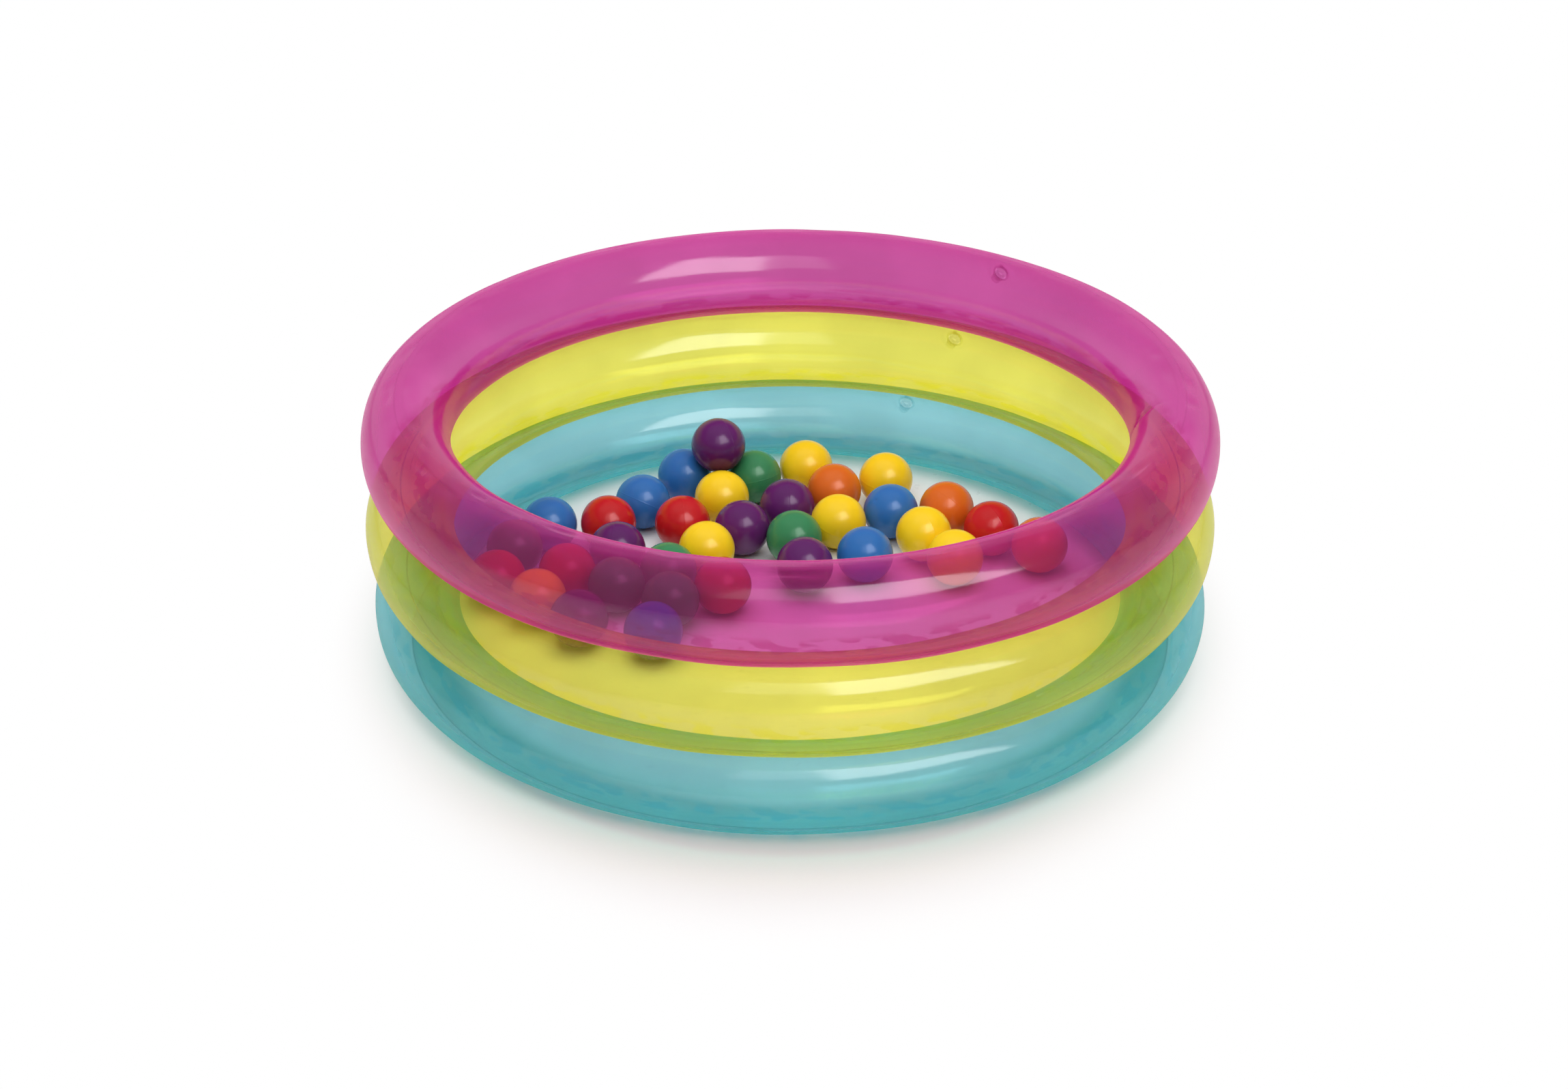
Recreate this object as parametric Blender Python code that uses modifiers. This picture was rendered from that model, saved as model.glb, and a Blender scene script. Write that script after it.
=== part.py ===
"""A ball pit: three air-filled rings of clear tinted film, stacked and welded, on a floor sheet of
the same film, with loose hollow play balls on the floor and one air valve in each ring.
Metres, +Z up. The floor sheet's underside is z = 0 and the stack's axis is x = y = 0."""

import math

import bmesh
import bpy
from mathutils import Matrix, Vector
from mathutils.bvhtree import BVHTree

# Driving dimensions
pool_radius = 0.4117
top_ring_inset = 0.0017
bottom_ring_inset = 0.0030
weld_inset = 0.0405
upper_tube_width = 0.0856
bottom_tube_width = 0.0828
upper_tube_height = 0.0894
bottom_tube_height = 0.0800
weld_width = 0.0080
film_thickness = 0.00025
touch_gap = 0.0003
ball_diameter = 0.0580
ball_wall = 0.0010
needle_hole_radius = 0.0010
stem_bore_radius = 0.0043
stem_wall = 0.0010
stem_length = 0.0120
collar_wall = 0.0008
collar_depth = 0.0060
flange_radius = 0.0095
flange_thickness = 0.0008
plug_head_radius = 0.0068
plug_head_thickness = 0.0010
plug_length = 0.0050
plug_tip_radius = 0.0028
strap_reach = 0.0090
strap_width = 0.0040

# Counts
ring_steps = 48
arc_steps = 3
ball_steps = 10
bearing_ball_steps = 20
valve_steps = 16
most_rounds = 200
halvings = 24

# Corners closer than this share of the film's thickness are one, and balls that overlap by less
# than this share of the gap are apart
merge_share = 0.2
settled_share = 0.1

# A ring's valve sits on one flat of the ring, just over the tube's widest line
valve_flats = {"top": 7, "middle": 8, "bottom": 9}

# Degrees above a ball's middle at which its outer skin has a row of corners, from the top down,
# and its inner one, from the foot up. Each inner row lies under an outer one. A ball that bears
# on another is turned finer, with a row at the height where they touch.
outer_latitudes = (60, 30, 0, -30, -60)
inner_latitudes = (-60, 0, 60)
bearing_outer_latitudes = (67.5, 45, 22.5, 0, -22.5, -45, -67.5)
bearing_inner_latitudes = (-45, 0, 45)

# Places of the balls on the floor, east and north of the middle, as shares of the furthest place
# a ball can lie in before the wall stops it
ball_place_shares = {
    "blue": (
        (-0.53, 0.63),
        (-0.385, 0.84),
        (0.36, 0.56),
        (0.26, 0.24),
        (-0.85, 0.46),
        (-0.45, -0.28),
    ),
    "green": (
        (-0.13, 0.83),
        (0.01, 0.36),
        (-0.42, 0.12),
        (-0.59, 0.03),
        (-0.40, -0.07),
        (-0.96, 0.29),
    ),
    "orange": (
        (0.16, 0.72),
        (0.56, 0.58),
        (0.87, 0.31),
    ),
    "purple": (
        (-0.01, 0.60),
        (-0.17, 0.42),
        (-0.60, 0.28),
        (0.05, 0.17),
        (-0.70, -0.20),
    ),
    "red": (
        (0.71, 0.43),
        (-0.64, 0.47),
        (-0.38, 0.47),
        (-1.01, 0.07),
        (-0.76, 0.11),
        (-0.23, 0.02),
    ),
    "yellow": (
        (-0.245, 0.665),
        (0.06, 0.91),
        (0.35, 0.81),
        (0.17, 0.48),
        (0.47, 0.39),
        (0.57, 0.22),
        (-0.28, 0.29),
        (-0.85, -0.05),
    ),
}
carrier_names = ("blue_ball_2", "green_ball_1", "yellow_ball_1")

ball_colours = {
    "blue": (0.020, 0.140, 0.440),
    "green": (0.025, 0.220, 0.085),
    "orange": (0.750, 0.130, 0.018),
    "purple": (0.115, 0.022, 0.140),
    "red": (0.610, 0.018, 0.024),
    "yellow": (0.950, 0.560, 0.025),
}
ring_colours = {
    "top": (0.70, 0.10, 0.38),
    "middle": (0.74, 0.70, 0.08),
    "bottom": (0.10, 0.48, 0.54),
}

# Derived sizes
top_outer_radius = pool_radius - top_ring_inset
bottom_outer_radius = pool_radius - bottom_ring_inset
weld_radius = pool_radius - weld_inset
ball_radius = ball_diameter / 2
stem_radius = stem_bore_radius + stem_wall
collar_bore_radius = stem_radius + touch_gap
collar_radius = collar_bore_radius + collar_wall
valve_hole_radius = collar_radius + touch_gap
flange_top = touch_gap + flange_thickness
rim_bottom = flange_top + touch_gap
rim_top = rim_bottom + stem_wall
hinge_height = rim_top + touch_gap / 2
head_bottom = rim_top + touch_gap
head_top = head_bottom + plug_head_thickness
ball_rest_height = film_thickness + touch_gap + ball_radius
half_step = math.pi / ring_steps
bottom_ring_height = film_thickness + touch_gap + bottom_tube_height / 2
middle_ring_height = (
    bottom_ring_height + (bottom_tube_height + upper_tube_height) / 2 + touch_gap
)
top_ring_height = middle_ring_height + upper_tube_height + touch_gap
ring_sizes = {
    "bottom": (bottom_outer_radius, bottom_tube_width, bottom_tube_height, bottom_ring_height),
    "middle": (pool_radius, upper_tube_width, upper_tube_height, middle_ring_height),
    "top": (top_outer_radius, upper_tube_width, upper_tube_height, top_ring_height),
}
wall_radius = min(outer - width for outer, width, height, middle in ring_sizes.values())
ball_reach = wall_radius * math.cos(half_step) - ball_radius - touch_gap
ball_step = ball_diameter + touch_gap


def cleared_scene():
    for thing in list(bpy.data.objects):
        bpy.data.objects.remove(thing, do_unlink=True)
    pieces = bpy.data.collections.new("ball_pit")
    cutters = bpy.data.collections.new("cutters")
    cutters.hide_render = True
    for collection in (pieces, cutters):
        bpy.context.scene.collection.children.link(collection)
    return pieces, cutters


def plastic(name, colour, roughness, opacity=1):
    made = bpy.data.materials.new(name)
    made.use_nodes = True
    shader = made.node_tree.nodes["Principled BSDF"]
    shader.inputs["Base Color"].default_value = (*colour, 1)
    shader.inputs["Roughness"].default_value = roughness
    shader.inputs["Metallic"].default_value = 0
    shader.inputs["Alpha"].default_value = opacity
    return made


def outline_mesh(name, points, closed):
    """A profile in the XZ plane, joined point to point, for a Screw to turn round Z."""
    made = bpy.data.meshes.new(name)
    last = len(points) if closed else len(points) - 1
    edges = [(i, (i + 1) % len(points)) for i in range(last)]
    made.from_pydata([(across, 0, up) for across, up in points], edges, [])
    return made


def placed(name, mesh, material, collection):
    made = bpy.data.objects.new(name, mesh)
    collection.objects.link(made)
    if material and not mesh.materials:
        mesh.materials.append(material)
    return made


def turn(thing, steps, smooth):
    screw = thing.modifiers.new("turned", "SCREW")
    screw.steps = steps
    screw.render_steps = steps
    screw.use_merge_vertices = True
    screw.merge_threshold = film_thickness * merge_share
    screw.use_smooth_shade = smooth
    return screw


def as_cutter(name, form, cutters):
    """The bmesh as a helper that another piece is cut with or joined to, which isn't shown."""
    mesh = bpy.data.meshes.new(name)
    form.to_mesh(mesh)
    form.free()
    made = placed(name, mesh, None, cutters)
    made.hide_render = True
    made.display_type = "WIRE"
    return made


def combine(thing, other, operation):
    step = thing.modifiers.new(operation.lower(), "BOOLEAN")
    step.operation = operation
    step.solver = "EXACT"
    step.object = other


# Rings


def tube_outline(outer_radius, width, height, middle):
    """The tube's section, down the outer side and up the inner one. A quarter oval runs from
    each edge of a flat weld band to the tube's widest line."""
    outer_edge = weld_radius + weld_width / 2
    inner_edge = weld_radius - weld_width / 2
    outer_half = outer_radius - outer_edge
    inner_half = inner_edge - (outer_radius - width)
    turns = [math.pi / 2 * step / arc_steps for step in range(2 * arc_steps + 1)]
    outer_side = [
        (outer_edge + outer_half * math.sin(turn), middle + height / 2 * math.cos(turn))
        for turn in turns
    ]
    inner_side = [
        (inner_edge - inner_half * math.sin(turn), middle - height / 2 * math.cos(turn))
        for turn in turns
    ]
    return outer_side + inner_side


def valve_frame(ring):
    """The valve's axes: X up the flat it sits on, Y along the ring, Z out of the film."""
    outline = tube_outline(*ring_sizes[ring])
    upper, lower = (
        Vector((across * math.cos(half_step), 0, up))
        for across, up in outline[arc_steps - 1 : arc_steps + 1]
    )
    climb = (upper - lower).normalized()
    outward = Vector((climb.z, 0, -climb.x))
    axes = Matrix((climb, outward.cross(climb), outward)).transposed().to_4x4()
    bearing = (2 * valve_flats[ring] + 1) * half_step
    spin = Matrix.Rotation(bearing, 4, "Z")
    return spin @ Matrix.Translation((upper + lower) / 2) @ axes


def valve_hole(ring, cutters):
    drill = bmesh.new()
    bmesh.ops.create_cone(
        drill,
        cap_ends=True,
        segments=valve_steps,
        radius1=valve_hole_radius,
        radius2=valve_hole_radius,
        depth=collar_depth,
    )
    cutter = as_cutter(f"{ring}_valve_hole", drill, cutters)
    cutter.matrix_world = valve_frame(ring)
    return cutter


def air_ring(ring, pieces, cutters):
    mesh = outline_mesh(f"{ring}_ring", tube_outline(*ring_sizes[ring]), closed=True)
    material = plastic(f"{ring}_ring_film", ring_colours[ring], roughness=0.08, opacity=0.6)
    made = placed(f"{ring}_ring", mesh, material, pieces)
    turn(made, ring_steps, smooth=True)
    shell = made.modifiers.new("film", "SOLIDIFY")
    shell.thickness = film_thickness
    shell.offset = -1
    combine(made, valve_hole(ring, cutters), "DIFFERENCE")


def floor_sheet(pieces):
    edge = weld_radius + weld_width / 2
    points = [(0, film_thickness), (edge, film_thickness), (edge, 0), (0, 0)]
    mesh = outline_mesh("floor_sheet", points, closed=False)
    material = plastic("floor_film", (0.85, 0.88, 0.90), roughness=0.12)
    turn(placed("floor_sheet", mesh, material, pieces), ring_steps, smooth=False)


# Valves


def strap_arm(name, end, bottom, thickness, cutters):
    """A bar from under the rim or the head out to `end`, to be joined to it."""
    middle = Vector(((stem_radius + end) / 2, 0, bottom + thickness / 2))
    size = Vector((end - stem_radius, strap_width, thickness))
    bar = bmesh.new()
    bmesh.ops.create_cube(bar, size=1, matrix=Matrix.LocRotScale(middle, None, size))
    return as_cutter(name, bar, cutters)


def valve_base(ring, material, pieces):
    points = [
        (collar_bore_radius, flange_top),
        (flange_radius, flange_top),
        (flange_radius, touch_gap),
        (collar_radius, touch_gap),
        (collar_radius, -collar_depth),
        (collar_bore_radius, -collar_depth),
    ]
    mesh = outline_mesh(f"{ring}_valve_base", points, closed=True)
    made = placed(f"{ring}_valve_base", mesh, material, pieces)
    made.matrix_world = valve_frame(ring)
    turn(made, valve_steps, smooth=False)


def valve_stem(ring, material, pieces, cutters):
    points = [
        (stem_bore_radius, rim_top),
        (plug_head_radius, rim_top),
        (plug_head_radius, rim_bottom),
        (stem_radius, rim_bottom),
        (stem_radius, -stem_length),
        (stem_bore_radius, -stem_length),
    ]
    mesh = outline_mesh(f"{ring}_valve_stem", points, closed=True)
    made = placed(f"{ring}_valve_stem", mesh, material, pieces)
    made.matrix_world = valve_frame(ring)
    turn(made, valve_steps, smooth=False)
    end = strap_reach - touch_gap
    arm = strap_arm(f"{ring}_stem_strap", end, rim_bottom, stem_wall, cutters)
    arm.matrix_world = valve_frame(ring)
    combine(made, arm, "UNION")


def valve_plug(ring, material, pieces, cutters):
    """A head with a tapered stopper, hung on an empty at the place where its strap bends."""
    hinge = bpy.data.objects.new(f"{ring}_valve_hinge", None)
    pieces.objects.link(hinge)
    offset = Matrix.Translation((strap_reach, 0, hinge_height))
    hinge.matrix_world = valve_frame(ring) @ offset
    points = [
        (0, head_top),
        (plug_head_radius, head_top),
        (plug_head_radius, head_bottom),
        (stem_bore_radius - touch_gap, head_bottom),
        (plug_tip_radius, head_bottom - plug_length),
        (0, head_bottom - plug_length),
    ]
    mesh = outline_mesh(f"{ring}_valve_plug", points, closed=False)
    made = placed(f"{ring}_valve_plug", mesh, material, pieces)
    turn(made, valve_steps, smooth=False)
    arm = strap_arm(f"{ring}_plug_strap", strap_reach, head_bottom, plug_head_thickness, cutters)
    combine(made, arm, "UNION")
    for thing in (made, arm):
        thing.parent = hinge
        thing.matrix_local = offset.inverted()


def valve(ring, pieces, cutters):
    material = plastic(f"{ring}_valve_vinyl", ring_colours[ring], roughness=0.30)
    valve_base(ring, material, pieces)
    valve_stem(ring, material, pieces, cutters)
    valve_plug(ring, material, pieces, cutters)


# Balls


def skin_points(radius, latitudes):
    angles = [math.radians(latitude) for latitude in latitudes]
    return [(radius * math.cos(angle), radius * math.sin(angle)) for angle in angles]


def ball_outline(outer_rows, inner_rows):
    """Down the outer skin, through the needle hole at the foot and up the inner skin."""
    inner_radius = ball_radius - ball_wall
    outer_foot = -math.sqrt(ball_radius**2 - needle_hole_radius**2)
    inner_foot = -math.sqrt(inner_radius**2 - needle_hole_radius**2)
    points = [(0, ball_radius)]
    points += skin_points(ball_radius, outer_rows)
    points += [(needle_hole_radius, outer_foot), (needle_hole_radius, inner_foot)]
    points += skin_points(inner_radius, inner_rows)
    points += [(0, inner_radius)]
    return points


def settled(places):
    """The places moved apart until no two balls overlap and none reaches into the wall."""
    places = [place.copy() for place in places]
    for _ in range(most_rounds):
        moved = False
        for i, first in enumerate(places):
            for second in places[:i]:
                apart = first - second
                short = ball_step - apart.length
                if short > 0:
                    push = apart.normalized() * short / 2
                    first += push
                    second -= push
                    moved = moved or short > touch_gap * settled_share
        for place in places:
            if place.length > ball_reach:
                place *= ball_reach / place.length
        if not moved:
            break
    return places


def perch(places):
    """Where a ball comes to rest on three others: above the point as far from each of them."""
    first, second, third = places
    to_second, to_third = second - first, third - first
    area = 2 * (to_second.x * to_third.y - to_second.y * to_third.x)
    across = to_third.y * to_second.length_squared - to_second.y * to_third.length_squared
    along = to_second.x * to_third.length_squared - to_third.x * to_second.length_squared
    middle = Vector((across / area, along / area))
    rise = math.sqrt(ball_step**2 - middle.length_squared)
    return Vector((*(first + middle), ball_rest_height + rise))


def surface_tree(ball, drop=0):
    graph = bpy.context.evaluated_depsgraph_get()
    mesh = ball.evaluated_get(graph).to_mesh()
    lowered = Matrix.Translation((0, 0, -drop)) @ ball.matrix_world
    corners = [lowered @ point.co for point in mesh.vertices]
    faces = [tuple(face.vertices) for face in mesh.polygons]
    tree = BVHTree.FromPolygons(corners, faces)
    ball.evaluated_get(graph).to_mesh_clear()
    return tree


def rest_on(ball, carriers):
    """Lowers the ball until its facets meet those of its carriers, less the gap."""
    under = [surface_tree(carrier) for carrier in carriers]
    clear, blocked = 0, ball_radius
    for _ in range(halvings):
        drop = (clear + blocked) / 2
        tree = surface_tree(ball, drop)
        if any(tree.overlap(other) for other in under):
            blocked = drop
        else:
            clear = drop
    ball.location.z -= clear - touch_gap


def ball_meshes(kind, outer_rows, inner_rows):
    made = {}
    for colour, shade in ball_colours.items():
        outline = ball_outline(outer_rows, inner_rows)
        made[colour] = outline_mesh(f"{colour}_{kind}", outline, closed=False)
        made[colour].materials.append(plastic(f"{colour}_{kind}", shade, roughness=0.25))
    return made


def play_ball(name, mesh, place, facing, steps, pieces):
    """A ball with a column of its corners turned to `facing`."""
    made = placed(name, mesh, None, pieces)
    made.location = place
    made.rotation_euler.z = math.atan2(facing.y, facing.x)
    turn(made, steps, smooth=True)
    return made


def play_balls(pieces):
    loose = ball_meshes("ball", outer_latitudes, inner_latitudes)
    bearing = ball_meshes("bearing_ball", bearing_outer_latitudes, bearing_inner_latitudes)
    names, shares = [], []
    for colour, colour_shares in ball_place_shares.items():
        names += [(colour, f"{colour}_ball_{count + 1}") for count in range(len(colour_shares))]
        shares += colour_shares
    places = dict(zip(names, settled([Vector(share) * ball_reach for share in shares])))
    above = perch([place for (_, name), place in places.items() if name in carrier_names])
    carriers = []
    for (colour, name), place in places.items():
        centre = Vector((*place, ball_rest_height))
        if name in carrier_names:
            mesh = bearing[colour]
            carriers.append(
                play_ball(name, mesh, centre, above - centre, bearing_ball_steps, pieces)
            )
        else:
            play_ball(name, loose[colour], centre, centre, ball_steps, pieces)
    facing = carriers[0].location - above
    raised = play_ball(
        "purple_ball_raised", bearing["purple"], above, facing, bearing_ball_steps, pieces
    )
    bpy.context.view_layer.update()
    rest_on(raised, carriers)


def build():
    pieces, cutters = cleared_scene()
    floor_sheet(pieces)
    for ring in ring_sizes:
        air_ring(ring, pieces, cutters)
        valve(ring, pieces, cutters)
    play_balls(pieces)


build()
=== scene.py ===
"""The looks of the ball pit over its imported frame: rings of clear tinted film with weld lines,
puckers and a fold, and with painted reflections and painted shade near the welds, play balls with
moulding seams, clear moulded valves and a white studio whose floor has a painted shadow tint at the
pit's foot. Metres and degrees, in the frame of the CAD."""

import math
import random

import bpy
import numpy as np
from mathutils import Euler, Matrix, Vector


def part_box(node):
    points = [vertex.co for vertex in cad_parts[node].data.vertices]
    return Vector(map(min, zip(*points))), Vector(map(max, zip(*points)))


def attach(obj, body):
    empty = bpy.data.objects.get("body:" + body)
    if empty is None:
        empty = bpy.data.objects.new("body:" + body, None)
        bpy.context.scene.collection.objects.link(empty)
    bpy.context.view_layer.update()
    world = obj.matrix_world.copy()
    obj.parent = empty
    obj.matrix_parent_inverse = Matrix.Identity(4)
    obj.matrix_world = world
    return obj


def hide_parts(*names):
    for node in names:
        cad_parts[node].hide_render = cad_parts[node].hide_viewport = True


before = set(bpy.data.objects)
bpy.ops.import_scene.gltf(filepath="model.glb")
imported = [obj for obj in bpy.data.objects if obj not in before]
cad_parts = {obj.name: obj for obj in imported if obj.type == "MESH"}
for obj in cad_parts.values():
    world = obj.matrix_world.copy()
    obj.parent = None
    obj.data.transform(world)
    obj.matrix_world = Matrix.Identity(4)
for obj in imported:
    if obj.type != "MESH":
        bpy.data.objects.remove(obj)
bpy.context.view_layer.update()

# Sizes shared with the CAD
weld_radius = 0.3712
weld_width = 0.0080
outer_edge = weld_radius + weld_width / 2
inner_edge = weld_radius - weld_width / 2
cad_ring_steps = 48
cad_arc_steps = 3
tube_widths = {"top": 0.0856, "middle": 0.0856, "bottom": 0.0828}
valve_flats = {"top": 7, "middle": 8, "bottom": 9}
ball_radius = 0.0290
touch_gap = 0.0003
stem_bore = 0.0043
stem_radius = 0.0053
stem_foot = -0.0120
collar_bore = 0.0056
collar_radius = 0.0064
collar_foot = -0.0060
flange_radius = 0.0095
flange_top = 0.0011
rim_bottom = 0.0014
rim_top = 0.0024
head_bottom = 0.0027
head_top = 0.0037
head_radius = 0.0068
strap_reach = 0.0090
strap_width = 0.0040

# What one layer of film lets through, in linear red, green and blue
film_tints = {
    "top": ("pink", (0.808, 0.335, 0.637)),
    "middle": ("yellow", (0.982, 0.970, 0.39)),
    "bottom": ("blue", (0.64, 0.91, 0.975)),
}
# What the film's pigment scatters
film_pigments = {
    "top": (0.93, 0.04, 0.50),
    "middle": (0.86, 0.90, 0.06),
    "bottom": (0.10, 0.69, 0.77),
}
# The share of light that the pigment scatters where film is seen square on, and what slant adds
film_haze = {"top": 0.10, "middle": 0.10, "bottom": 0.17}
slant_haze = 0.58
# The share of light that film mirrors where it is seen square on, and what slant adds
film_mirror = 0.045
slant_mirror = 0.30
valve_mirror = 0.02
valve_slant_mirror = 0.14
valve_milk = 0.02
# How strongly the inner edge of a weld shows beside the outer one
inner_lines = {"top": 0.35, "middle": 0.35, "bottom": 0.1}
# Painted shade: how much deeper each ring's film is painted in a band over its lower weld, at the rear,
# where the crease between the rings lies in shade
rear_painted_shade = {"top": 1.0, "middle": 0.5, "bottom": 0.0}
ball_shades = {
    "blue": (0.030, 0.155, 0.460),
    "green": (0.042, 0.235, 0.095),
    "orange": (0.700, 0.140, 0.014),
    "purple": (0.110, 0.015, 0.125),
    "red": (0.530, 0.012, 0.016),
    "yellow": (0.960, 0.640, 0.014),
}
floor_film_shades = ((0.88, 0.90, 0.91), (0.91, 0.93, 0.94))

# How much darker the mottle of a shade is
film_mottle = 0.93
ball_mottle = 0.94
valve_mottle = 0.97
# A tint's depth as a number of layers of film, and how strongly the deeper tint shows
line_layers, line_dimming, line_strength = 1.8, 0.62, 0.6
painted_reflection_and_shade_layers, painted_reflection_and_shade_strength = 2.2, 0.9
slant_layers = 0.38
valve_layers = 0.13
# How sharply shine and deeper tint, and the pigment's haze, keep to film that is seen slanting
edge_power = 4.0
haze_power = 2.0
# The values of a noise over which what follows it goes from one end to the other
noise_span = (0.3, 0.7)
cloud_span = (0.35, 0.65)

# Marks in the film along its welds, each as where it starts and where it is whole or gone
line_edge = (0.0003, 0.0012)
line_rise = (0.0004, 0.0012)
# Painted reflection: patches of deeper tint near the lower weld that stand in for the weld band's image
# in the wavy film
painted_reflection_start = (0.0020, 0.0050)
painted_reflection_end = (0.0140, 0.0220)
painted_reflection_cover = (0.47, 0.53)
painted_reflection_and_shade_height = (0.80, 0.60)
painted_reflection_length = 0.0300
painted_reflection_width = 0.0100
# Painted shade: a deeper band over the lower weld at the rear, in the crease between the rings
painted_shade_bearing = (0.0, 0.12)
painted_shade_start = (0.0, 0.0010)
painted_shade_end = (0.0100, 0.0200)
foot_fade = (0.0, 0.10)
foot_rear_share = 0.3
crown_fade = (0.26, 0.36)
crown_side_share = 0.4


# Node helpers


class Nodes:
    """A material's or the world's node tree, with short calls that add and join nodes."""

    def __init__(self, owner):
        owner.use_nodes = True
        self.tree = owner.node_tree
        self.tree.nodes.clear()

    def add(self, kind, **settings):
        made = self.tree.nodes.new(kind)
        for name, value in settings.items():
            setattr(made, name, value)
        return made

    def join(self, source, target):
        self.tree.links.new(source, target)

    def feed(self, socket, value):
        """Joins a node's output to a socket, or sets a plain value on it."""
        if isinstance(value, bpy.types.NodeSocket):
            self.join(value, socket)
        elif value is not None:
            socket.default_value = value

    def fed(self, made, values):
        """Feeds the values to the node's first sockets, and gives its first output."""
        for socket, value in zip(made.inputs, values):
            self.feed(socket, value)
        return made.outputs[0]

    def place(self):
        return self.add("ShaderNodeTexCoord").outputs["Object"]

    def split(self, vector):
        made = self.add("ShaderNodeSeparateXYZ")
        self.join(vector, made.inputs[0])
        return made.outputs

    def combine(self, *values):
        return self.fed(self.add("ShaderNodeCombineXYZ"), values)

    def math(self, operation, *values):
        return self.fed(self.add("ShaderNodeMath", operation=operation), values)

    def product(self, value, *others):
        for other in others:
            value = self.math("MULTIPLY", value, other)
        return value

    def ramp(self, value, start, end, low=0.0, high=1.0, smooth=True):
        kind = "SMOOTHSTEP" if smooth else "LINEAR"
        made = self.add("ShaderNodeMapRange", interpolation_type=kind)
        return self.fed(made, (value, start, end, low, high))

    def uneven(self, noise, low, high):
        """A value that follows a noise between two limits."""
        return self.ramp(noise, *noise_span, low, high, smooth=False)

    def blend(self, share, first, second, kind="MIX"):
        made = self.add("ShaderNodeMix", data_type="RGBA", blend_type=kind)
        self.feed(made.inputs[0], share)
        self.feed(made.inputs[6], first)
        self.feed(made.inputs[7], second)
        return made.outputs[2]

    def noise(self, vector, scale, detail=3.0, roughness=0.5):
        made = self.add("ShaderNodeTexNoise")
        self.feed(made.inputs["Vector"], vector)
        made.inputs["Scale"].default_value = scale
        made.inputs["Detail"].default_value = detail
        made.inputs["Roughness"].default_value = roughness
        return made.outputs[0]

    def bump(self, height, strength, distance, normal=None):
        made = self.add("ShaderNodeBump")
        made.inputs["Strength"].default_value = strength
        made.inputs["Distance"].default_value = distance
        self.feed(made.inputs["Height"], height)
        self.feed(made.inputs["Normal"], normal)
        return made.outputs[0]

    def facing(self):
        """0 where the surface is seen square on and 1 where it is seen edge on."""
        made = self.add("ShaderNodeLayerWeight")
        made.inputs["Blend"].default_value = 0.5
        return made.outputs["Facing"]

    def shader(self, kind, hue=None, roughness=None, normal=None):
        made = self.add(f"ShaderNodeBsdf{kind}")
        hue_socket = "Base Color" if kind == "Principled" else "Color"
        for name, value in ((hue_socket, hue), ("Roughness", roughness), ("Normal", normal)):
            if value is not None:
                self.feed(made.inputs[name], value)
        return made

    def mix(self, share, first, second):
        """The second shader by its share, over the first."""
        made = self.add("ShaderNodeMixShader")
        self.fed(made, (share, first.outputs[0], second.outputs[0]))
        return made

    def end(self, shader, kind="Material"):
        self.join(shader.outputs[0], self.add(f"ShaderNodeOutput{kind}").inputs["Surface"])


def colour(values):
    return (*values, 1.0)


def grey(value):
    return (value, value, value, 1.0)


def scaled(values, share):
    return tuple(value * share for value in values)


def powered(values, power):
    """A tint as this many layers of film would show it."""
    return tuple(value**power for value in values)


# Materials


def film_places(nodes, middle):
    """Where a point of a ring's film lies, round the pit and from the middle height of its tube."""
    place = nodes.place()
    across, along, up = nodes.split(place)
    squares = [nodes.math("POWER", value, 2.0) for value in (across, along)]
    return {
        "place": place,
        "across": across,
        "along": along,
        "up": up,
        "radius": nodes.math("SQRT", nodes.math("ADD", *squares)),
        "height": nodes.math("SUBTRACT", up, middle),
        "bearing": nodes.math("ARCTAN2", along, across),
    }


def weld_lines(nodes, ring, half, at):
    """From 0 to 1, how much a point lies on the thin line along an edge of a weld."""
    lines = []
    for edge, share in ((inner_edge, inner_lines[ring]), (outer_edge, 1.0)):
        away = nodes.math("ABSOLUTE", nodes.math("SUBTRACT", at["radius"], edge))
        lines.append(nodes.ramp(away, *line_edge, share, 0.0))
    on_foot = nodes.ramp(nodes.math("ADD", at["height"], half), *line_rise, 1.0, 0.0)
    on_crown = nodes.ramp(nodes.math("SUBTRACT", half, at["height"]), *line_rise, 1.0, 0.0)
    if ring == "bottom":
        on_foot = nodes.product(on_foot, nodes.ramp(at["along"], *foot_fade, 1.0, foot_rear_share))
    if ring == "top":
        aside = nodes.math("ABSOLUTE", at["across"])
        on_crown = nodes.product(on_crown, nodes.ramp(aside, *crown_fade, 0.0, crown_side_share))
    return nodes.product(nodes.math("MAXIMUM", *lines), nodes.math("MAXIMUM", on_foot, on_crown))


def weld_painted_reflection_and_shade(nodes, ring, half, at):
    """From 0 to 1, how much deeper the film is painted near its lower weld: painted reflection in
    patches all round, which stand in for the weld band's image in the wavy film, and painted shade in a
    band at the rear, over the crease between the rings."""
    off_weld = nodes.math("ABSOLUTE", nodes.math("SUBTRACT", at["radius"], weld_radius))
    reach = nodes.math("SUBTRACT", off_weld, weld_width / 2)
    cells = nodes.combine(
        nodes.product(at["bearing"], weld_radius / painted_reflection_length),
        nodes.product(at["radius"], 1 / painted_reflection_width),
    )
    # Painted reflection patches near the weld
    patches = nodes.product(
        nodes.ramp(nodes.noise(cells, scale=1.0, detail=1.5), *painted_reflection_cover),
        nodes.ramp(reach, *painted_reflection_start),
        nodes.ramp(reach, *painted_reflection_end, 1.0, 0.0),
    )
    # Painted shade in the crease over the lower weld, at the rear
    rear = nodes.product(
        nodes.ramp(at["along"], *painted_shade_bearing),
        nodes.ramp(reach, *painted_shade_start),
        nodes.ramp(reach, *painted_shade_end, rear_painted_shade[ring], 0.0),
    )
    below = nodes.ramp(at["height"], *(-half * share for share in painted_reflection_and_shade_height), 1.0, 0.0)
    return nodes.product(nodes.math("MAXIMUM", patches, rear), below)


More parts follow.
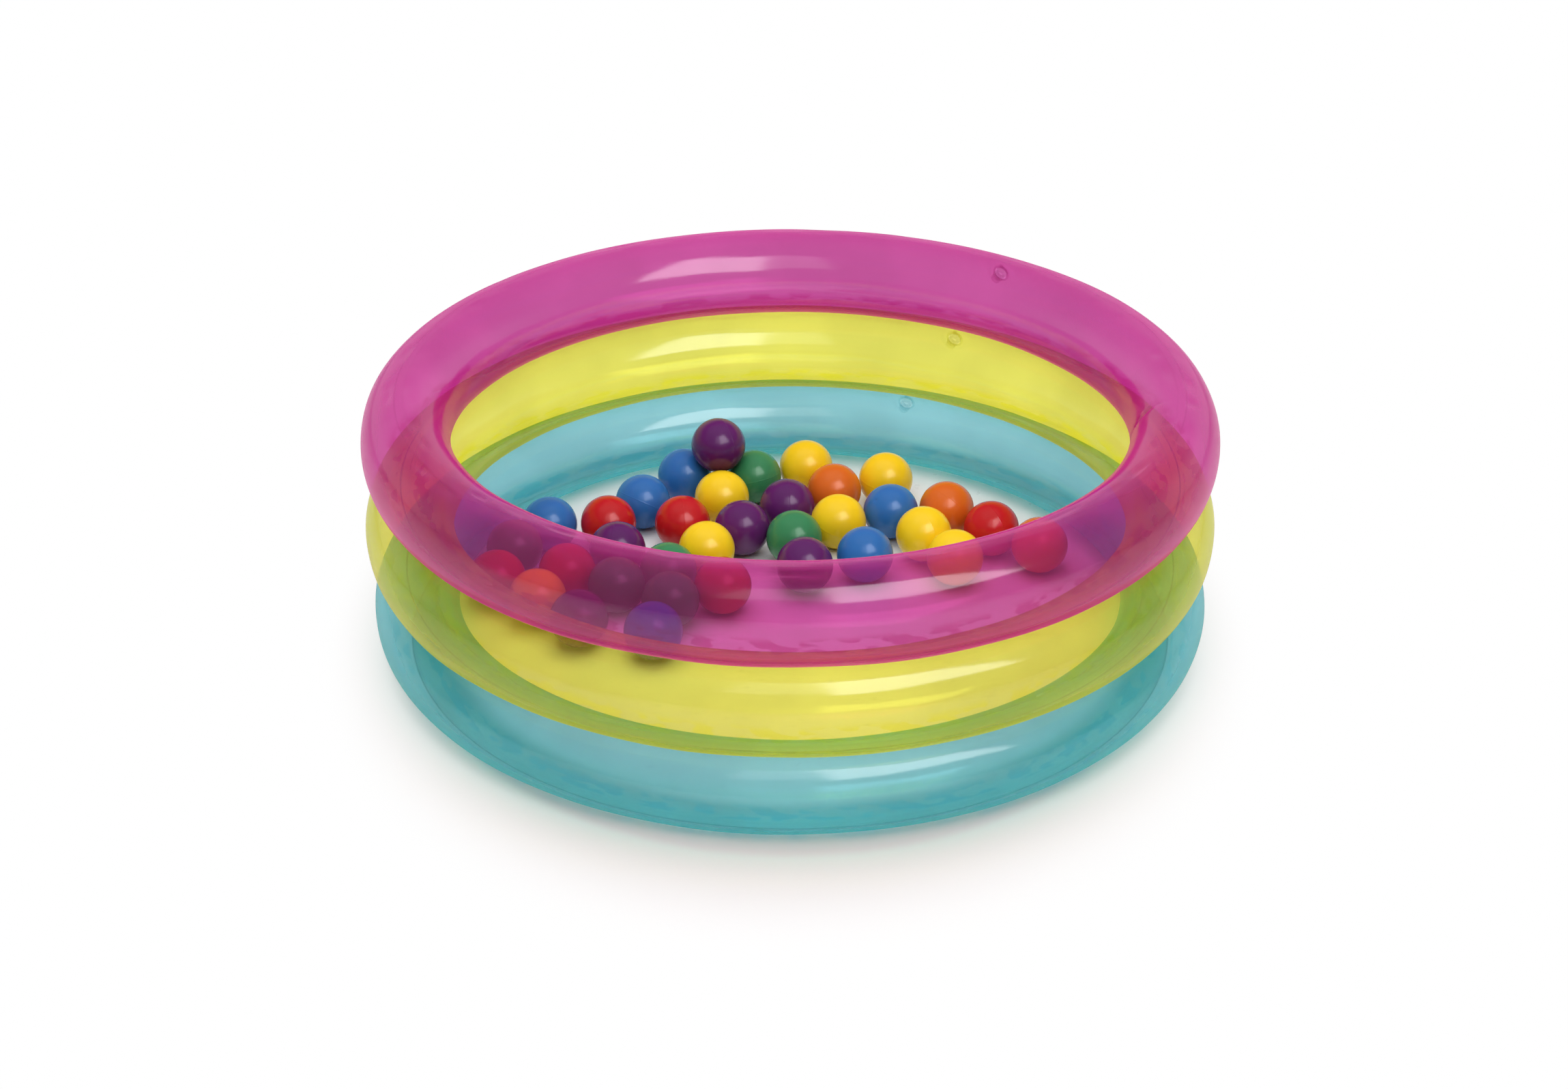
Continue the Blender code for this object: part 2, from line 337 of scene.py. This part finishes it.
def film_material(ring, middle, half):
    """A clear tinted film: it mirrors as a thin sheet does, scatters a share of the light in its
    pigment and lets the rest through, tinted, and more deeply so where it is seen slanting."""
    name, tint = film_tints[ring]
    made = bpy.data.materials.new(f"{name}_film")
    nodes = Nodes(made)
    at = film_places(nodes, middle)
    cloud = nodes.ramp(nodes.noise(at["place"], scale=9.0, detail=2.0), *cloud_span)
    hue = nodes.blend(cloud, colour(scaled(tint, film_mottle)), colour(tint))
    line_hue = scaled(powered(tint, line_layers), line_dimming)
    lines = nodes.product(weld_lines(nodes, ring, half, at), line_strength)
    hue = nodes.blend(lines, hue, colour(line_hue))
    # Painted reflection and painted shade near the lower weld, as a deeper tint
    painted_reflection_and_shade = nodes.product(weld_painted_reflection_and_shade(nodes, ring, half, at), painted_reflection_and_shade_strength)
    hue = nodes.blend(painted_reflection_and_shade, hue, colour(powered(tint, painted_reflection_and_shade_layers)))

    facing = nodes.facing()
    edge_on = nodes.math("POWER", facing, edge_power)
    hue = nodes.blend(edge_on, hue, colour(powered(tint, slant_layers)), "MULTIPLY")
    pigment = colour(film_pigments[ring])
    body = nodes.mix(0.5, nodes.shader("Translucent", pigment), nodes.shader("Diffuse", pigment))
    slant = nodes.math("POWER", facing, haze_power)
    haze = nodes.math("MULTIPLY_ADD", slant, slant_haze, film_haze[ring])
    film = nodes.mix(haze, nodes.shader("Transparent", hue), body)

    streak_length, streak_width = 0.9, 26.0
    ribbon = nodes.combine(
        nodes.product(at["bearing"], streak_length),
        nodes.product(at["radius"], streak_width),
        nodes.product(at["up"], streak_width),
    )
    streaks = nodes.noise(ribbon, scale=1.6, detail=2.0, roughness=0.45)
    surface = nodes.bump(streaks, strength=0.10, distance=0.010)
    grain = nodes.noise(at["place"], scale=420.0, detail=2.0)
    surface = nodes.bump(grain, strength=0.06, distance=0.0004, normal=surface)
    smear = nodes.uneven(nodes.noise(at["place"], scale=30.0), 0.10, 0.16)
    gloss = nodes.shader("Glossy", grey(1.0), smear, surface)
    mirrored = nodes.math("MULTIPLY_ADD", edge_on, slant_mirror, film_mirror)
    nodes.end(nodes.mix(mirrored, film, gloss))
    return made


def ball_material(name, shade):
    """Blow-moulded polyethylene: a soft shine, a faint mottle and a fine orange-peel skin."""
    made = bpy.data.materials.new(f"{name}_ball")
    nodes = Nodes(made)
    place = nodes.place()
    mottle = nodes.ramp(nodes.noise(place, scale=45.0, detail=4.0), *noise_span)
    hue = nodes.blend(mottle, colour(scaled(shade, ball_mottle)), colour(shade))
    wear = nodes.uneven(nodes.noise(place, scale=110.0, detail=5.0, roughness=0.6), 0.17, 0.23)
    dimples = nodes.noise(place, scale=55.0, detail=2.0)
    surface = nodes.bump(dimples, strength=0.03, distance=0.0012)
    peel = nodes.noise(place, scale=700.0, detail=2.0)
    surface = nodes.bump(peel, strength=0.02, distance=0.0003, normal=surface)
    shader = nodes.shader("Principled", hue, wear, surface)
    shader.inputs["Specular IOR Level"].default_value = 0.35
    nodes.end(shader)
    return made


def floor_film_material():
    """White vinyl film lying on the ground: soft waves, a light shine and faint scuffs."""
    made = bpy.data.materials.new("floor_film")
    nodes = Nodes(made)
    place = nodes.place()
    cloud = nodes.ramp(nodes.noise(place, scale=6.0), *cloud_span)
    hue = nodes.blend(cloud, *(colour(shade) for shade in floor_film_shades))
    scuffs = nodes.uneven(nodes.noise(place, scale=60.0, detail=5.0, roughness=0.65), 0.26, 0.36)
    soft_waves = nodes.noise(place, scale=8.0, detail=2.0, roughness=0.4)
    surface = nodes.bump(soft_waves, strength=0.15, distance=0.006)
    grain = nodes.noise(place, scale=500.0, detail=2.0)
    surface = nodes.bump(grain, strength=0.05, distance=0.0003, normal=surface)
    nodes.end(nodes.shader("Principled", hue, scuffs, surface))
    return made


def vinyl_material(name, tint):
    """Soft moulded vinyl in a pale shade of the ring's tint: clear, with a shine at its edges."""
    made = bpy.data.materials.new(f"{name}_valve_vinyl")
    nodes = Nodes(made)
    place = nodes.place()
    flow = nodes.noise(place, scale=350.0)
    pale = powered(tint, valve_layers)
    hue = nodes.blend(nodes.ramp(flow, *noise_span), colour(scaled(pale, valve_mottle)), colour(pale))
    smear = nodes.uneven(flow, 0.20, 0.30)
    grain = nodes.noise(place, scale=1500.0, detail=2.0)
    surface = nodes.bump(grain, strength=0.15, distance=0.0001)
    edge_on = nodes.math("POWER", nodes.facing(), edge_power)
    mirrored = nodes.math("MULTIPLY_ADD", edge_on, valve_slant_mirror, valve_mirror)
    gloss = nodes.shader("Glossy", None, smear, surface)
    coat = nodes.mix(mirrored, nodes.shader("Transparent", hue), gloss)
    nodes.end(nodes.mix(valve_milk, coat, nodes.shader("Translucent", hue)))
    return made


# Mesh helpers


def new_mesh(name, points, faces, material, smooth=True):
    mesh = bpy.data.meshes.new(name)
    mesh.from_pydata([tuple(point) for point in points], [], faces)
    mesh.polygons.foreach_set("use_smooth", [smooth] * len(mesh.polygons))
    mesh.materials.append(material)
    return mesh


def new_object(name, data):
    made = bpy.data.objects.new(name, data)
    bpy.context.scene.collection.objects.link(made)
    return made


def shown_for(piece, node, body):
    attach(piece, body)
    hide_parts(node)


def rounded(outline, radius, steps=4, closed=True):
    """The outline with each corner turned into an arc of at most that radius."""
    made = []
    count = len(outline)
    for index, corner in enumerate(outline):
        corner = Vector(corner)
        if not closed and index in (0, count - 1):
            made.append(tuple(corner))
            continue
        before = Vector(outline[index - 1]) - corner
        after = Vector(outline[(index + 1) % count]) - corner
        reach = min(radius, before.length / 2, after.length / 2)
        start, end = corner + before.normalized() * reach, corner + after.normalized() * reach
        for step in range(steps + 1):
            share = step / steps
            first = start.lerp(corner, share)
            second = corner.lerp(end, share)
            made.append(tuple(first.lerp(second, share)))
    return made


def turned(outline, steps, closed):
    """Points and faces of an outline of (across, up) turned round Z. One that isn't closed starts
    and ends on the axis."""
    on_axis = 1e-9
    points, faces, rows = [], [], []
    for across, up in outline:
        if across < on_axis:
            rows.append([len(points)] * steps)
            points.append((0.0, 0.0, up))
            continue
        rows.append(list(range(len(points), len(points) + steps)))
        for step in range(steps):
            angle = 2 * math.pi * step / steps
            points.append((across * math.cos(angle), across * math.sin(angle), up))
    last = len(rows) if closed else len(rows) - 1
    for index in range(last):
        first, second = rows[index], rows[(index + 1) % len(rows)]
        for step in range(steps):
            following = (step + 1) % steps
            corners = [first[step], second[step], second[following], first[following]]
            face = [corner for i, corner in enumerate(corners) if corner not in corners[:i]]
            if len(face) > 2:
                faces.append(tuple(face))
    return points, faces


def smooth_share(values, start, end):
    share = np.clip((values - start) / (end - start), 0, 1)
    return share * share * (3 - 2 * share)


def bell(values, middle, width):
    return np.exp(-(((values - middle) / width) ** 2))


# Rings

film_slack = 0.0005
section_step = 4.0
fine_section_step = 1.0
fine_section = (56.0, 94.0)
after_fine_section = 96.0
bearing_step = 1.0
fine_bearing_step = 0.12
fine_bearing_reach = 3.0
weld_rows = (0.12, 0.3, 0.5, 0.7, 0.88)

# Small puckers at the welds, each drawn at random within these
puckers_per_edge = 46
pucker_shift = 0.45
pucker_reach = (0.007, 0.022)
pucker_span = (0.0030, 0.0060)
pucker_start = (0.0035, 0.0085)
pucker_depth = (0.0002, 0.0013)
pucker_strengths = (0.5, 1.0, 1.0, 1.6)

# Long shallow waves all over the film, with their shifts in radians
wave_count = 14
wave_turns = (3, 19)
wave_folds = (1, 4)
wave_shifts = (0, 6.3)
wave_sizes = (0.00004, 0.00011)
wave_free = 0.020

# The crease of the inner wall where it leaves its lower weld, on the upper two rings
crease_depth = 0.0018
crease_angle = 26.0

# The fold across the inner wall of the top ring
kink_bearing = -7.5
kink_depth = 0.0030
kink_width = 0.8
kink_fade = 6
kink_angle = 300
kink_spread = 25
kink_step = 0.2
kink_steps = 14

# The film under a valve: a hole, and a flat round it that fades into the tube
hole_radius = 0.0069
hole_slack = 0.0003
flat_reach = 0.0110
flat_fade = 0.0190
valve_depth = 0.02


def ring_facts(ring):
    low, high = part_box(f"{ring}_ring")
    outer = (high.x - low.x) / 2
    return {
        "outer": outer,
        "inner": outer - tube_widths[ring],
        "middle": (low.z + high.z) / 2,
        "half": (high.z - low.z) / 2,
    }


def valve_bearing(ring):
    return (2 * valve_flats[ring] + 1) * 180 / cad_ring_steps


def valve_frame(ring):
    """X up the CAD's flat that the valve sits on, Y along the ring, Z out of the film."""
    facts = ring_facts(ring)
    half_step = math.pi / cad_ring_steps
    corners = []
    for step in (cad_arc_steps - 1, cad_arc_steps):
        angle = math.pi / 2 * step / cad_arc_steps
        across = outer_edge + (facts["outer"] - outer_edge) * math.sin(angle)
        up = facts["middle"] + facts["half"] * math.cos(angle)
        corners.append(Vector((across * math.cos(half_step), 0, up)))
    climb = (corners[0] - corners[1]).normalized()
    outward = Vector((climb.z, 0, -climb.x))
    axes = Matrix((climb, outward.cross(climb), outward)).transposed().to_4x4()
    spin = Matrix.Rotation(math.radians(valve_bearing(ring)), 4, "Z")
    return spin @ Matrix.Translation((corners[0] + corners[1]) / 2) @ axes


def section_rows():
    """(side, angle) round the tube's section. Side 1 is the outer wall, from the top weld to the
    bottom one, and -1 the inner wall. Side 0 is a weld, where the angle is the share of its width
    from its outer edge, plus 180 at the bottom weld. Rows lie close together at the valve."""
    past_end = section_step / 2
    outer = [*np.arange(0.0, fine_section[0], section_step)]
    outer += [*np.arange(*fine_section, fine_section_step)]
    outer += [*np.arange(after_fine_section, 180.0 + past_end, section_step)]
    inner = np.arange(180.0, 360.0 + past_end, section_step)
    rows = [(1, angle) for angle in outer]
    rows += [(0, 180 + share) for share in weld_rows]
    rows += [(-1, angle) for angle in inner]
    rows += [(0, share) for share in reversed(weld_rows)]
    return rows


def tube_section(ring, facts, rows):
    """Where the rows lie as arrays of across and up, from the tube's middle height, and the way
    out of the film at each."""
    halves = {1: facts["outer"] - film_slack - outer_edge, -1: inner_edge - facts["inner"] - film_slack}
    outline, outward = [], []
    for side, angle in rows:
        if side == 0:
            top = angle < 180
            share = angle if top else angle - 180
            way = 1.0 if top else -1.0
            outline.append((outer_edge - weld_width * share, way * facts["half"]))
            outward.append((0.0, way))
            continue
        turn = math.radians(angle)
        half = halves[side]
        edge = outer_edge if side > 0 else inner_edge
        crease = 0.0
        if side < 0 and ring != "bottom":
            past = (angle - 180) / crease_angle
            crease = crease_depth * past * math.exp((1 - past**2) / 2)
        outline.append((edge + half * math.sin(turn), facts["half"] * math.cos(turn) + crease))
        outward.append(Vector((math.sin(turn) / half, math.cos(turn) / facts["half"])).normalized())
    return np.array(outline).T, np.array(outward).T


def weld_distances(sides, across, up):
    """Along the film from a weld's edge to each row, by side and edge. Other sides' rows are far."""
    far = 9.0
    lengths = {}
    for side in (1, -1):
        at = np.flatnonzero(sides == side)
        steps = np.hypot(np.diff(across[at]), np.diff(up[at]))
        run = np.concatenate([[0.0], np.cumsum(steps)])
        first, last = ("top", "bottom") if side > 0 else ("bottom", "top")
        for edge, values in ((first, run), (last, run[-1] - run)):
            whole = np.full(len(sides), far)
            whole[at] = values
            lengths[(side, edge)] = whole
    return lengths


def off_bearing(bearings, centre):
    """Degrees from a bearing, from -180 to 180."""
    return (bearings - centre + 180) % 360 - 180


def ring_bearings(ring):
    """The bearings of the film's columns in radians, close together at the valve and the fold."""
    centre = valve_bearing(ring)
    count = round(2 * fine_bearing_reach / fine_bearing_step)
    fine = list(centre - fine_bearing_reach + fine_bearing_step * np.arange(count + 1))
    centres = [centre]
    if ring == "top":
        centres.append(kink_bearing)
        fine += [(kink_bearing + kink_step * step) % 360 for step in range(-kink_steps, kink_steps + 1)]
    coarse = np.arange(0.0, 360.0, bearing_step)
    for centre in centres:
        coarse = coarse[np.abs(off_bearing(coarse, centre)) > fine_bearing_reach]
    return np.radians(np.array(sorted([*coarse, *fine])))


def puckers(sides, lengths, bearings, chance):
    """How far the film is drawn in near its welds, as a grid of bearings by rows."""
    depth = np.zeros((len(bearings), len(sides)))
    for side in (1, -1):
        for edge in ("top", "bottom"):
            away = lengths[(side, edge)]
            for index in range(puckers_per_edge):
                shift = chance.uniform(-pucker_shift, pucker_shift)
                centre = 2 * math.pi * (index + shift) / puckers_per_edge
                reach = chance.uniform(*pucker_reach) / weld_radius
                span = chance.uniform(*pucker_span)
                start = chance.uniform(*pucker_start)
                deep = chance.uniform(*pucker_depth) * chance.choice(pucker_strengths)
                turn = (bearings - centre + math.pi) % (2 * math.pi) - math.pi
                over = bell(away, start, span) * (sides == side)
                depth += deep * bell(turn, 0, reach)[:, None] * over[None, :]
    return depth


def waves(angles, bearings, chance):
    """Low waves round the pit and round the tube, as a grid of bearings by rows."""
    wave = np.zeros((len(bearings), len(angles)))
    for _ in range(wave_count):
        turns, folds = chance.randint(*wave_turns), chance.randint(*wave_folds)
        shift, tilt = chance.uniform(*wave_shifts), chance.uniform(*wave_shifts)
        size = chance.uniform(*wave_sizes)
        round_pit, round_tube = np.sin(turns * bearings + shift), np.sin(folds * angles + tilt)
        wave += size * round_pit[:, None] * round_tube[None, :]
    return wave


def kink(sides, angles, bearings):
    """How far the fold of the top ring is drawn in, as a grid of bearings by rows."""
    turn = off_bearing(np.degrees(bearings), kink_bearing)
    fold = np.exp(-np.abs(turn) / kink_width) * bell(turn, 0, kink_fade)
    over = bell(np.degrees(angles), kink_angle, kink_spread) * (sides < 0)
    return kink_depth * fold[:, None] * over[None, :]


def opened_at_valve(ring, sides, points):
    """The grid of points flattened under the valve and drawn out round its hole, and the first
    bearing and row of each face outside the hole."""
    valve = valve_frame(ring)
    inverse, forward = np.array(valve.inverted()), np.array(valve)
    local = points @ inverse[:3, :3].T + inverse[:3, 3]
    off_axis = np.hypot(local[..., 0], local[..., 1])
    near = (local[..., 2] > -valve_depth) & (sides[None, :] > 0)
    pull = np.where(near, 1 - smooth_share(off_axis, flat_reach, flat_fade), 0.0)
    local[..., 2] *= 1 - pull
    inside = near & (off_axis < hole_radius - hole_slack)
    lost = inside | np.roll(inside, -1, 0)
    lost = lost | np.roll(lost, -1, 1)
    touched = inside | np.roll(inside, 1, 0) | np.roll(inside, -1, 0)
    touched = touched | np.roll(touched, 1, 1) | np.roll(touched, -1, 1)
    rim = touched & ~inside & near
    spread = np.where(rim, hole_radius / np.maximum(off_axis, hole_slack), 1.0)
    local[..., :2] *= spread[..., None]
    return local @ forward[:3, :3].T + forward[:3, 3], np.nonzero(~lost)


def film_ring(ring):
    facts = ring_facts(ring)
    chance = random.Random(f"{ring} film")
    rows = section_rows()
    sides = np.array([side for side, _ in rows])
    angles = np.radians(np.array([angle if side else 0.0 for side, angle in rows]))
    (across, up), (out_across, out_up) = tube_section(ring, facts, rows)
    lengths = weld_distances(sides, across, up)
    bearings = ring_bearings(ring)

    drawn = puckers(sides, lengths, bearings, chance)
    nearest = np.where(sides == 0, 0.0, np.minimum.reduce(list(lengths.values())))
    free = smooth_share(nearest, 0.0, wave_free)
    moved = waves(angles, bearings, chance) * free[None, :] - drawn
    if ring == "top":
        moved -= kink(sides, angles, bearings)
    radius = across[None, :] + out_across[None, :] * moved
    height = facts["middle"] + up[None, :] + out_up[None, :] * moved
    cos, sin = np.cos(bearings)[:, None], np.sin(bearings)[:, None]
    points = np.stack([radius * cos, radius * sin, height], axis=-1)

    points, (first_b, first_r) = opened_at_valve(ring, sides, points)
    count, width = len(bearings), len(rows)
    next_b, next_r = (first_b + 1) % count, (first_r + 1) % width
    corners = ((first_b, first_r), (first_b, next_r), (next_b, next_r), (next_b, first_r))
    faces = np.stack([b * width + r for b, r in corners], axis=-1)
    used, index = np.unique(faces, return_inverse=True)
    faces = index.reshape(faces.shape).tolist()
    material = film_material(ring, facts["middle"], facts["half"])
    name = f"{ring}_film"
    piece = new_object(name, new_mesh(name, points.reshape(-1, 3)[used], faces, material))
    shown_for(piece, f"{ring}_ring", "pit")


# Floor sheet


def floor_sheet():
    top_rows, foot_rows, steps = 60, 12, 144
    low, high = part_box("floor_sheet")
    edge = (high.x - low.x) / 2
    outline = [(edge * row / top_rows, high.z) for row in range(top_rows + 1)]
    outline += [(edge * row / foot_rows, low.z) for row in reversed(range(foot_rows + 1))]
    points, faces = turned(outline, steps, closed=False)
    name = "floor_film_sheet"
    piece = new_object(name, new_mesh(name, points, faces, floor_film_material()))
    shown_for(piece, "floor_sheet", "pit")


# Valves

valve_fillet = 0.0004
valve_steps = 64
strap_fillet = 0.0003
strap_rows = (0.0, 0.15, 0.3, 0.5, 0.7, 0.85, 1.0)
strap_bend = 0.55
strap_bend_reach = 0.18
strap_thinning = 0.22
plug_strap_start = 0.0055
nub_radius = 0.0016
nub_slope = 0.0006
nub_dip = 0.0003
plug_radius = 0.0040
plug_shoulder = 0.0006
plug_tip_radius = 0.0028
plug_length = 0.0050


def strap(start, end, bottom, top, points, faces):
    """Adds a strap along X with rounded long edges, thinned at its middle where it bends."""
    half = strap_width / 2
    sections = []
    for share in strap_rows:
        thin = strap_thinning * math.exp(-(((share - strap_bend) / strap_bend_reach) ** 2))
        low = bottom + (top - bottom) * thin
        high = top - (top - bottom) * thin
        loop = rounded([(-half, low), (half, low), (half, high), (-half, high)], strap_fillet)
        across = start + (end - start) * share
        sections.append([(across, y, z) for y, z in loop])
    base, size = len(points), len(sections[0])
    for section in sections:
        points += section
    for index in range(len(sections) - 1):
        for step in range(size):
            following = (step + 1) % size
            first, second = base + index * size, base + (index + 1) * size
            faces.append((first + step, second + step, second + following, first + following))
    faces.append(tuple(base + step for step in range(size)))
    faces.append(tuple(base + (len(sections) - 1) * size + step for step in reversed(range(size))))


def valve_pieces(ring):
    flange = [
        (collar_bore, flange_top),
        (flange_radius, flange_top),
        (flange_radius, touch_gap),
        (collar_radius, touch_gap),
        (collar_radius, collar_foot),
        (collar_bore, collar_foot),
    ]
    tube = [
        (stem_bore, rim_top),
        (head_radius, rim_top),
        (head_radius, rim_bottom),
        (stem_radius, rim_bottom),
        (stem_radius, stem_foot),
        (stem_bore, stem_foot),
    ]
    cap = [
        (nub_radius, head_top - nub_dip),
        (nub_radius + nub_slope, head_top),
        (head_radius, head_top),
        (head_radius, head_bottom),
        (plug_radius, head_bottom),
        (plug_radius, head_bottom - plug_shoulder),
        (plug_tip_radius, head_bottom - plug_length),
        (0.0, head_bottom - plug_length),
    ]
    cap = [(0.0, head_top - nub_dip)] + rounded(cap, valve_fillet, closed=False)
    shapes = {
        "flange": turned(rounded(flange, valve_fillet), valve_steps, closed=True),
        "tube": turned(rounded(tube, valve_fillet), valve_steps, closed=True),
        "cap": turned(cap, valve_steps, closed=False),
    }
    strap(stem_radius, strap_reach - touch_gap, rim_bottom, rim_top, *shapes["tube"])
    strap(plug_strap_start, strap_reach, head_bottom, head_top, *shapes["cap"])

    film, tint = film_tints[ring]
    material = vinyl_material(film, tint)
    for shape, part, body in (
        ("flange", "base", "pit"),
        ("tube", "stem", f"{ring}_valve_stem"),
        ("cap", "plug", f"{ring}_valve_plug"),
    ):
        name = f"{ring}_valve_{shape}"
        piece = new_object(name, new_mesh(name, *shapes[shape], material))
        piece.matrix_world = valve_frame(ring)
        shown_for(piece, f"{ring}_valve_{part}", body)


# Balls

seam_half = 0.0005
seam_height = 0.00013
mark_radius = 0.0022
mark_depth = 0.00035
ball_steps = 64


def ball_mesh(name, material):
    """A sphere with a fine raised seam round its middle and a shallow sealed mark at one pole."""
    skin = ball_radius - seam_height
    at_seam = [0.0, 0.45, 0.9, 1.35, 1.8, 2.6, 4.0]
    at_pole = [84.5, 86.0, 87.0, 88.2]
    between = list(np.arange(8.0, 81.0, 6.0))
    latitudes = at_seam + between + at_pole
    outline = [(0.0, skin - mark_depth)]
    for latitude in latitudes[::-1] + [-latitude for latitude in latitudes[1:]]:
        angle = math.radians(latitude)
        lift = seam_height * math.exp(-((skin * angle / seam_half) ** 2))
        from_pole = skin * math.radians(90 - latitude)
        dip = mark_depth * math.exp(-((from_pole / mark_radius) ** 4))
        radius = skin + lift - dip
        outline.append((radius * math.cos(angle), radius * math.sin(angle)))
    outline.append((0.0, -skin))
    points, faces = turned(outline, ball_steps, closed=False)
    return new_mesh(name, points, faces, material)


def play_balls():
    """Each ball has its own turn, put in its mesh, so that seams and marks lie at random."""
    meshes = {
        name: ball_mesh(f"{name}_ball_form", ball_material(name, shade))
        for name, shade in ball_shades.items()
    }
    for node in sorted(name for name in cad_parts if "_ball_" in name):
        shade = node.split("_")[0]
        low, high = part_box(node)
        chance = random.Random(node)
        turn = Euler([chance.uniform(0, 2 * math.pi) for _ in range(3)])
        mesh = meshes[shade].copy()
        mesh.transform(turn.to_matrix().to_4x4())
        ball = new_object(f"{node}_skin", mesh)
        ball.location = ((low.x + high.x) / 2, (low.y + high.y) / 2, high.z - ball_radius)
        shown_for(ball, node, node)


# Studio

# Bearing, elevation, distance, width, height and power of each lamp
softboxes = {
    "softbox": (35, 56, 3.4, 1.75, 3.2, 92),
    "softbox_spill": (-3, 56, 3.4, 0.95, 3.0, 10),
}
soft_lights = {
    "overhead": (180, 82, 2.3, 3.0, 2.0, 48),
    "front_light": (5, 55, 2.6, 2.2, 1.4, 26),
}
lamp_aim = (0.0, 0.0, 0.12)

# The room's light, and what the backdrop adds low down at the rear
room_light = 0.27
backdrop_light = 0.55
backdrop_top = (0.20, 0.62)
backdrop_side = (-0.35, 0.55)

# The floor: paper, with a painted shadow close to the pit (a warm, darker tone that takes the teal of
# light through the blue film out of the shade there), that fades to plain white as the camera sees it
paper_shades = (0.90, 0.92)
# Painted shadow tint at the pit's foot, with its stretch across and its reach
painted_shadow_tint = (0.92, 0.78, 0.82)
painted_shadow_stretch = 1.13
painted_shadow_reach = (0.408, 0.422)
white_stretch = 1.25
white_reach = (0.42, 0.58)
white_least = 0.06
floor_half = 6.0
floor_top = -0.0002

# The camera as fitted to the rings' outlines and weld lines in the photo
sensor_width = 36.0
camera_lens = 60.852
camera_place = (-0.002159, -2.295287, 1.335043)
camera_pitch = 28.6747
camera_yaw = -0.0946


def lamp(name, bearing, elevation, distance, width, height, power, shines):
    """An area lamp. Bearing 0 is on the camera's side and 90 to its right. One that shines stands
    upright and shows only in reflections. Any other is aimed at the pit and never shows in them."""
    turn, climb = math.radians(bearing), math.radians(elevation)
    level = Vector((math.sin(turn), -math.cos(turn), 0.0))
    away = level * math.cos(climb) + Vector((0, 0, math.sin(climb)))
    data = bpy.data.lights.new(name, "AREA")
    data.shape = "RECTANGLE"
    data.size, data.size_y = width, height
    data.energy = power
    made = new_object(name, data)
    made.location = away * distance + Vector(lamp_aim)
    made.rotation_mode = "QUATERNION"
    made.rotation_quaternion = (level if shines else away).to_track_quat("Z", "Y")
    made.visible_diffuse = not shines
    made.visible_glossy = shines


def seen_directly(nodes):
    """1 for a ray from the camera or through a clear surface, and 0 for one that lights."""
    path = nodes.add("ShaderNodeLightPath")
    return nodes.math("MAXIMUM", path.outputs["Is Camera Ray"], path.outputs["Is Transmission Ray"])


def from_middle(nodes, place, sideways):
    """Distance over the floor from the middle of the pit, with x stretched."""
    spread = nodes.add("ShaderNodeVectorMath", operation="MULTIPLY")
    nodes.fed(spread, (place, (sideways, 1.0, 1.0)))
    away = nodes.add("ShaderNodeVectorMath", operation="LENGTH")
    nodes.join(spread.outputs[0], away.inputs[0])
    return away.outputs["Value"]


def studio_world():
    world = bpy.data.worlds.new("studio")
    bpy.context.scene.world = world
    nodes = Nodes(world)
    light = nodes.add("ShaderNodeBackground")
    light.inputs["Color"].default_value = grey(1.0)
    _, rearward, up = nodes.split(nodes.add("ShaderNodeTexCoord").outputs["Generated"])
    low = nodes.ramp(up, *backdrop_top, 1.0, 0.0)
    backdrop = nodes.product(low, nodes.ramp(rearward, *backdrop_side))
    room = nodes.math("MULTIPLY_ADD", backdrop, backdrop_light, room_light)
    nodes.join(nodes.math("MAXIMUM", room, seen_directly(nodes)), light.inputs["Strength"])
    nodes.end(light, "World")


def studio_floor():
    ground = bpy.data.materials.new("studio_floor")
    nodes = Nodes(ground)
    place = nodes.place()
    grain = nodes.noise(place, scale=300.0, detail=2.0)
    shade = nodes.blend(grain, *(grey(value) for value in paper_shades))
    # Painted shadow: a warm, darker tone at the pit's foot that takes the teal of light through the
    # blue film out of the shade
    painted_shadow = nodes.ramp(from_middle(nodes, place, painted_shadow_stretch), *painted_shadow_reach, 1.0, 0.0)
    paper = nodes.shader("Diffuse", nodes.blend(painted_shadow, shade, colour(painted_shadow_tint)))
    white = nodes.add("ShaderNodeEmission")
    far = nodes.ramp(from_middle(nodes, place, white_stretch), *white_reach, white_least, 1.0)
    nodes.end(nodes.mix(nodes.product(far, seen_directly(nodes)), paper, white))
    sides = ((-1, -1), (1, -1), (1, 1), (-1, 1))
    corners = [(x * floor_half, y * floor_half, floor_top) for x, y in sides]
    mesh = new_mesh("studio_floor", corners, [(0, 1, 2, 3)], ground, smooth=False)
    new_object("studio_floor", mesh)


def camera():
    data = bpy.data.cameras.new("camera")
    data.sensor_width = sensor_width
    data.lens = camera_lens
    made = new_object("camera", data)
    made.location = camera_place
    pitch, yaw = math.radians(camera_pitch), math.radians(camera_yaw)
    made.rotation_euler = (math.pi / 2 - pitch, 0.0, -yaw)
    bpy.context.scene.camera = made


for ring in film_tints:
    film_ring(ring)
    valve_pieces(ring)
floor_sheet()
play_balls()
studio_world()
studio_floor()
for name, setting in softboxes.items():
    lamp(name, *setting, shines=True)
for name, setting in soft_lights.items():
    lamp(name, *setting, shines=False)
camera()

scene = bpy.context.scene
scene.view_settings.view_transform = "Standard"
scene.cycles.transparent_max_bounces = 32
